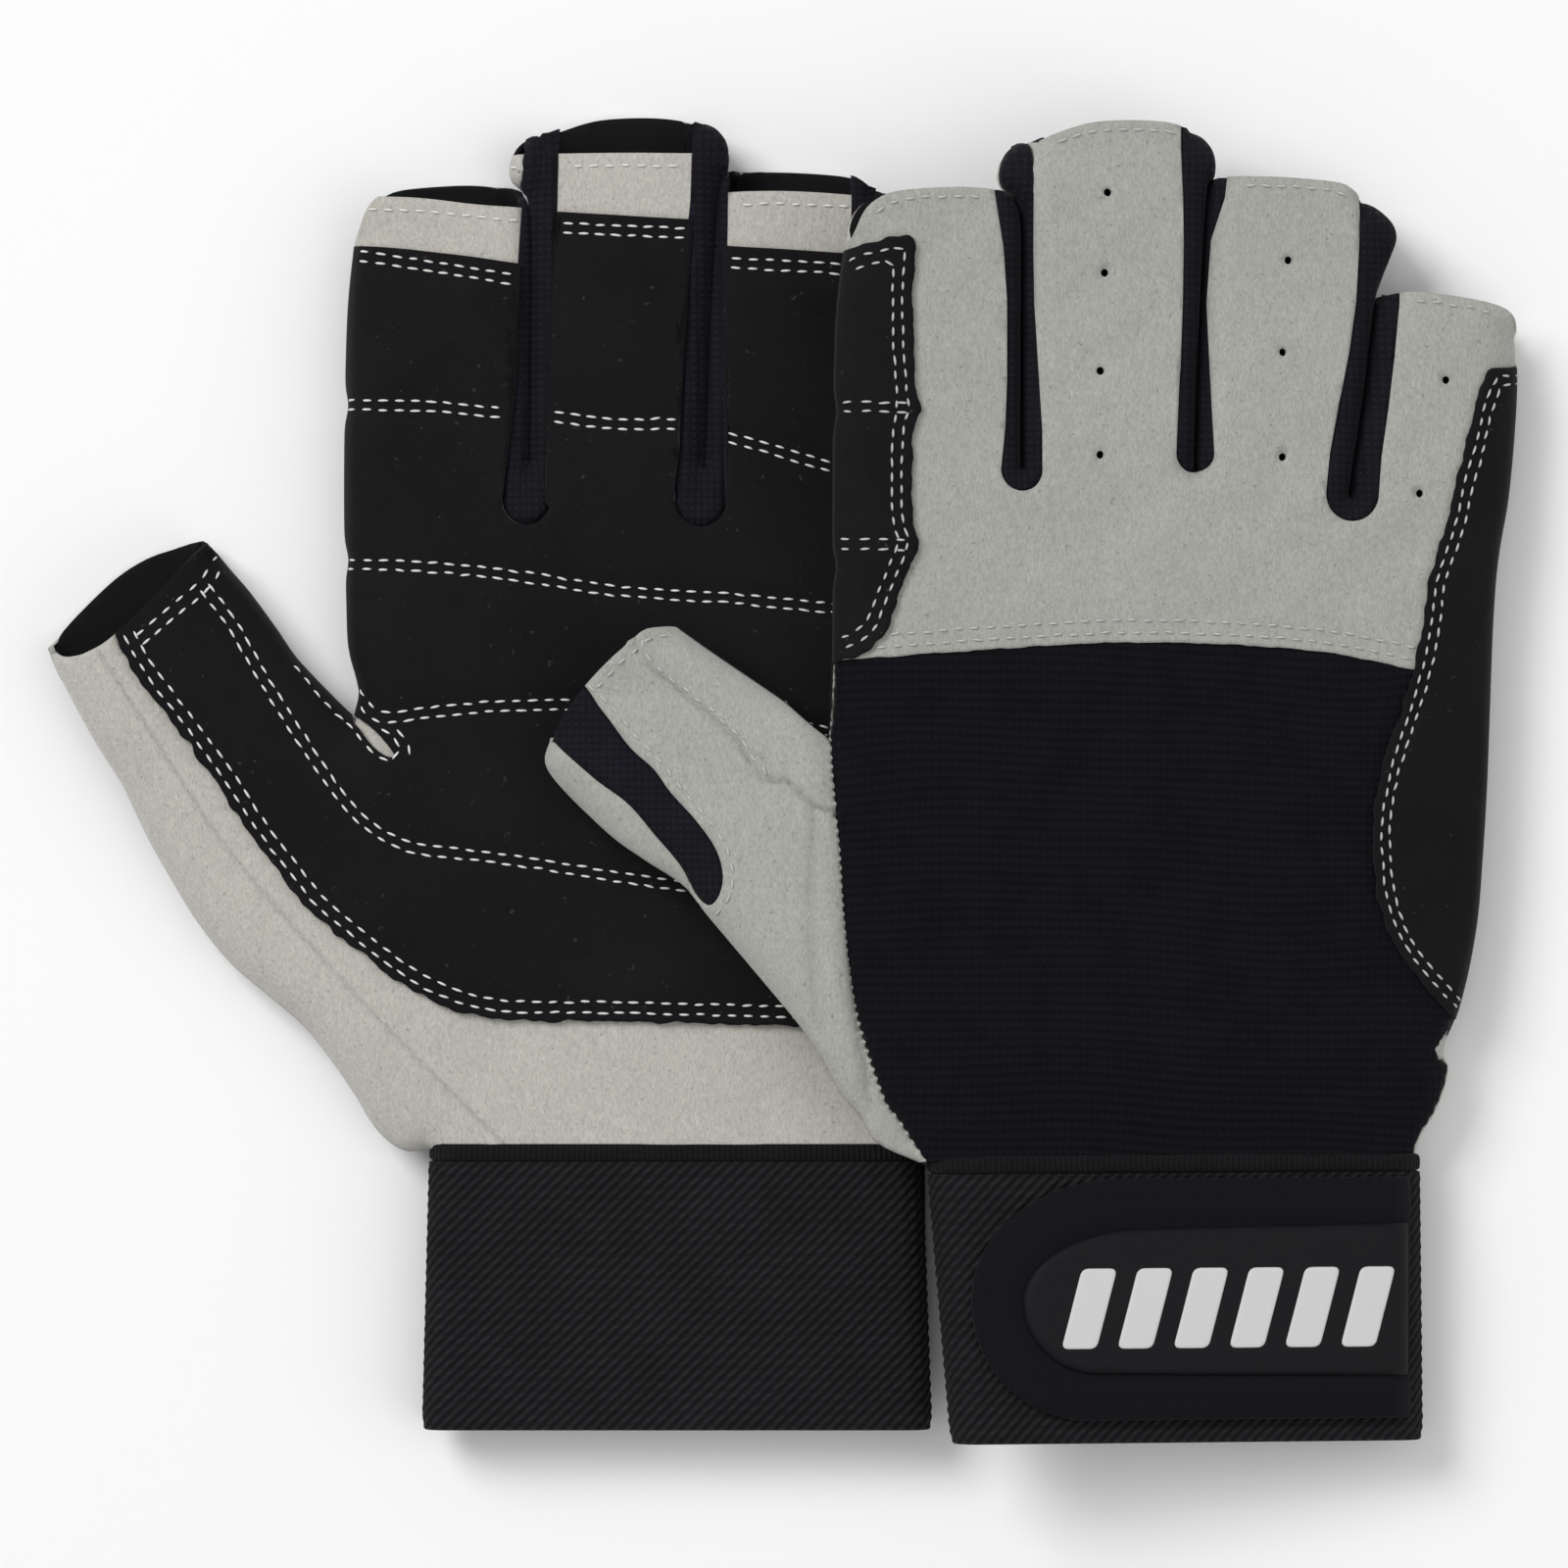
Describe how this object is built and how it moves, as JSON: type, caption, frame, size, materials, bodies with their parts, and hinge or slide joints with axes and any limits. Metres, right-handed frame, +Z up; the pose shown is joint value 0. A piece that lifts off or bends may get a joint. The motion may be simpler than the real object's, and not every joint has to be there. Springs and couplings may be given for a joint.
{
  "type": "sailing gloves",
  "caption": "Pair of short-finger sailing gloves with suede backs, quilted black grip palms, knit sides and hook-and-loop wrist straps, laid one over the other.",
  "frame": {"origin": "centre of the bottom of the pair's box, on the surface that the gloves lie on", "axes": "+X across the hands towards the right glove's little finger, +Y towards the fingertips, +Z up"},
  "size_m": [0.2097, 0.1874, 0.0282],
  "materials": {
    "back_suede": "light grey suede, short nap",
    "palm_suede": "pale warm grey suede, short nap",
    "grip": "black synthetic suede, quilted",
    "knit": "black ribbed stretch knit",
    "cuff_elastic": "black woven elastic, diagonal twill",
    "strap_cloth": "black brushed strap cloth",
    "hook_and_loop": "black hook and loop tape",
    "patch_rubber": "soft black rubber, satin",
    "white_trim": "off-white thread and raised print",
    "foam": "open foam, hidden inside the palm"
  },
  "bodies": {
    "left_hand": {"left_back_suede": "back_suede", "left_back_knit": "knit", "left_palm_suede": "palm_suede", "left_palm_foam": "foam", "left_palm_grip": "grip", "left_index_side": "grip", "left_ulnar_side": "grip", "left_fork_webs": "knit", "left_wrist_seam": "cuff_elastic", "left_cuff": "cuff_elastic", "left_loop_pad": "hook_and_loop", "left_ring_stall": "back_suede", "left_ring_fourchette": "knit", "left_ring_grip": "grip", "left_little_stall": "back_suede", "left_little_fourchette": "knit", "left_little_grip": "grip"},
    "left_strap": {"left_strap": "strap_cloth", "left_hook_pad": "hook_and_loop", "left_strap_patch": "patch_rubber", "left_strap_emblem": "white_trim"},
    "left_index": {"left_index_stall": "back_suede", "left_index_fourchette": "knit", "left_index_grip": "grip"},
    "left_middle": {"left_middle_stall": "back_suede", "left_middle_fourchette": "knit", "left_middle_grip": "grip"},
    "left_thumb": {"left_thumb_stall": "back_suede", "left_thumb_knit": "knit", "left_thumb_grip": "grip"},
    "right_hand": {"right_back_suede": "back_suede", "right_back_knit": "knit", "right_palm_suede": "palm_suede", "right_palm_foam": "foam", "right_palm_grip": "grip", "right_index_side": "grip", "right_ulnar_side": "grip", "right_fork_webs": "knit", "right_wrist_seam": "cuff_elastic", "right_cuff": "cuff_elastic", "right_loop_pad": "hook_and_loop"},
    "right_strap": {"right_strap": "strap_cloth", "right_hook_pad": "hook_and_loop", "right_strap_patch": "patch_rubber", "right_strap_emblem": "white_trim"},
    "right_index": {"right_index_stall": "back_suede", "right_index_fourchette": "knit", "right_index_grip": "grip"},
    "right_middle": {"right_middle_stall": "back_suede", "right_middle_fourchette": "knit", "right_middle_grip": "grip"},
    "right_ring": {"right_ring_stall": "back_suede", "right_ring_fourchette": "knit", "right_ring_grip": "grip"},
    "right_little": {"right_little_stall": "back_suede", "right_little_fourchette": "knit", "right_little_grip": "grip"},
    "right_thumb": {"right_thumb_stall": "back_suede", "right_thumb_knit": "knit", "right_thumb_grip": "grip"}
  },
  "joints": [
    {"name": "left_index_bend", "type": "hinge", "parent": "left_hand", "child": "left_index", "pos_m": [-0.04985, 0.0517, 0.0113], "axis": [1, 0, 0], "range_deg": [0, 75]},
    {"name": "left_middle_bend", "type": "hinge", "parent": "left_hand", "child": "left_middle", "pos_m": [-0.02435, 0.0517, 0.0113], "axis": [1, 0, 0], "range_deg": [0, 75]},
    {"name": "left_thumb_bend", "type": "hinge", "parent": "left_hand", "child": "left_thumb", "pos_m": [-0.06385, -0.0153, 0.0113], "axis": [0, 1, 0], "range_deg": [0, 60]},
    {"name": "left_strap_open", "type": "hinge", "parent": "left_hand", "child": "left_strap", "pos_m": [0.01915, -0.0718, 0.0019], "axis": [0, -1, 0], "range_deg": [0, 120]},
    {"name": "right_glove_lift", "type": "slide", "parent": "left_hand", "child": "right_hand", "axis": [0, 0, 1], "range_m": [0, 0.09]},
    {"name": "right_index_bend", "type": "hinge", "parent": "right_hand", "child": "right_index", "pos_m": [0.02104, 0.0503, 0.02589], "axis": [0.9848, 0, -0.1736], "range_deg": [0, 35]},
    {"name": "right_middle_bend", "type": "hinge", "parent": "right_hand", "child": "right_middle", "pos_m": [0.04615, 0.0503, 0.02146], "axis": [0.9848, 0, -0.1736], "range_deg": [0, 35]},
    {"name": "right_ring_bend", "type": "hinge", "parent": "right_hand", "child": "right_ring", "pos_m": [0.07008, 0.0503, 0.01724], "axis": [0.9848, 0, -0.1736], "range_deg": [0, 35]},
    {"name": "right_little_bend", "type": "hinge", "parent": "right_hand", "child": "right_little", "pos_m": [0.09342, 0.0503, 0.01312], "axis": [0.9848, 0, -0.1736], "range_deg": [0, 35]},
    {"name": "right_thumb_bend", "type": "hinge", "parent": "right_hand", "child": "right_thumb", "pos_m": [0.00725, -0.0167, 0.02832], "axis": [0, 1, 0], "range_deg": [0, 45]},
    {"name": "right_strap_open", "type": "hinge", "parent": "right_hand", "child": "right_strap", "pos_m": [0.08866, -0.0732, 0.01204], "axis": [0, 1, 0], "range_deg": [0, 150]}
  ]
}
